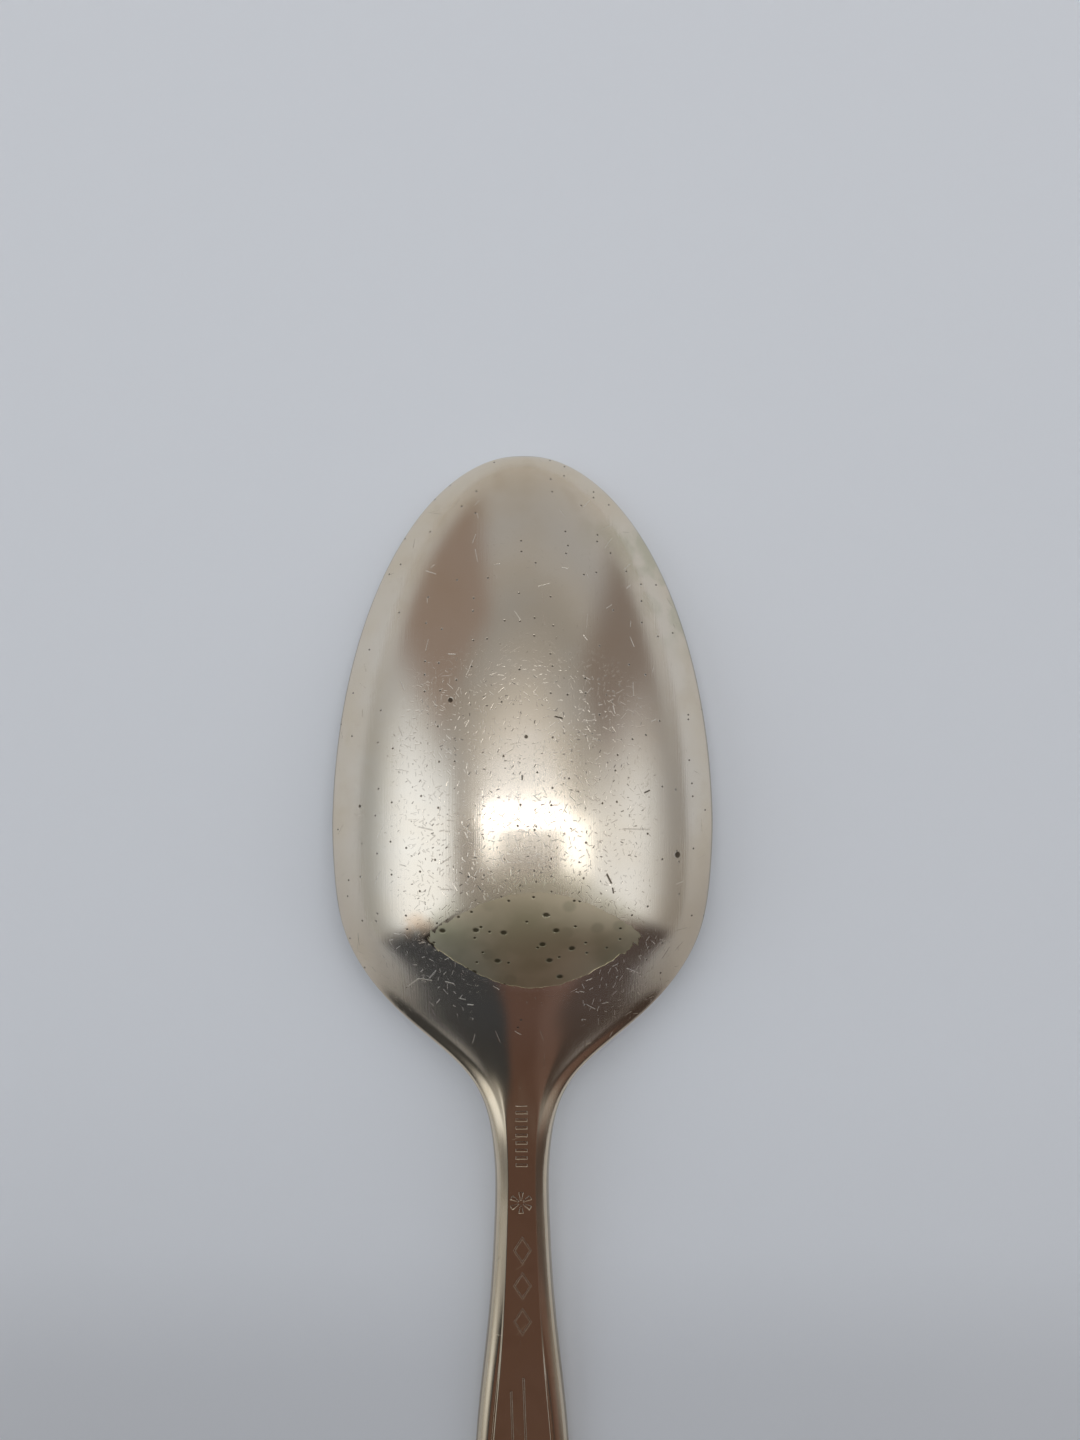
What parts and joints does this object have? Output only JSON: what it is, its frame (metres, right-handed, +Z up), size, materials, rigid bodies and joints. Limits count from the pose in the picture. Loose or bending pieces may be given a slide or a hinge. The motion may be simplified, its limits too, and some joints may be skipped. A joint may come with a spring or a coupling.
{
  "type": "bar spoon",
  "caption": "Long-handled plated metal spoon with an egg-shaped bowl, slim neck and panelled stem, lying face down.",
  "frame": {"origin": "on the table under the middle of the spoon's length, at the bottom centre of the bounding box", "axes": "+Y along the spoon from the end of the handle to the tip of the bowl, +Z up out of the bowl's back, +X across"},
  "size_m": [0.0316, 0.19, 0.0212],
  "materials": {
    "nickel_silver": "satin",
    "silver": "gloss"
  },
  "bodies": {
    "root": {"nickel_silver_blank": "nickel_silver", "silver_plate": "silver"}
  },
  "joints": []
}
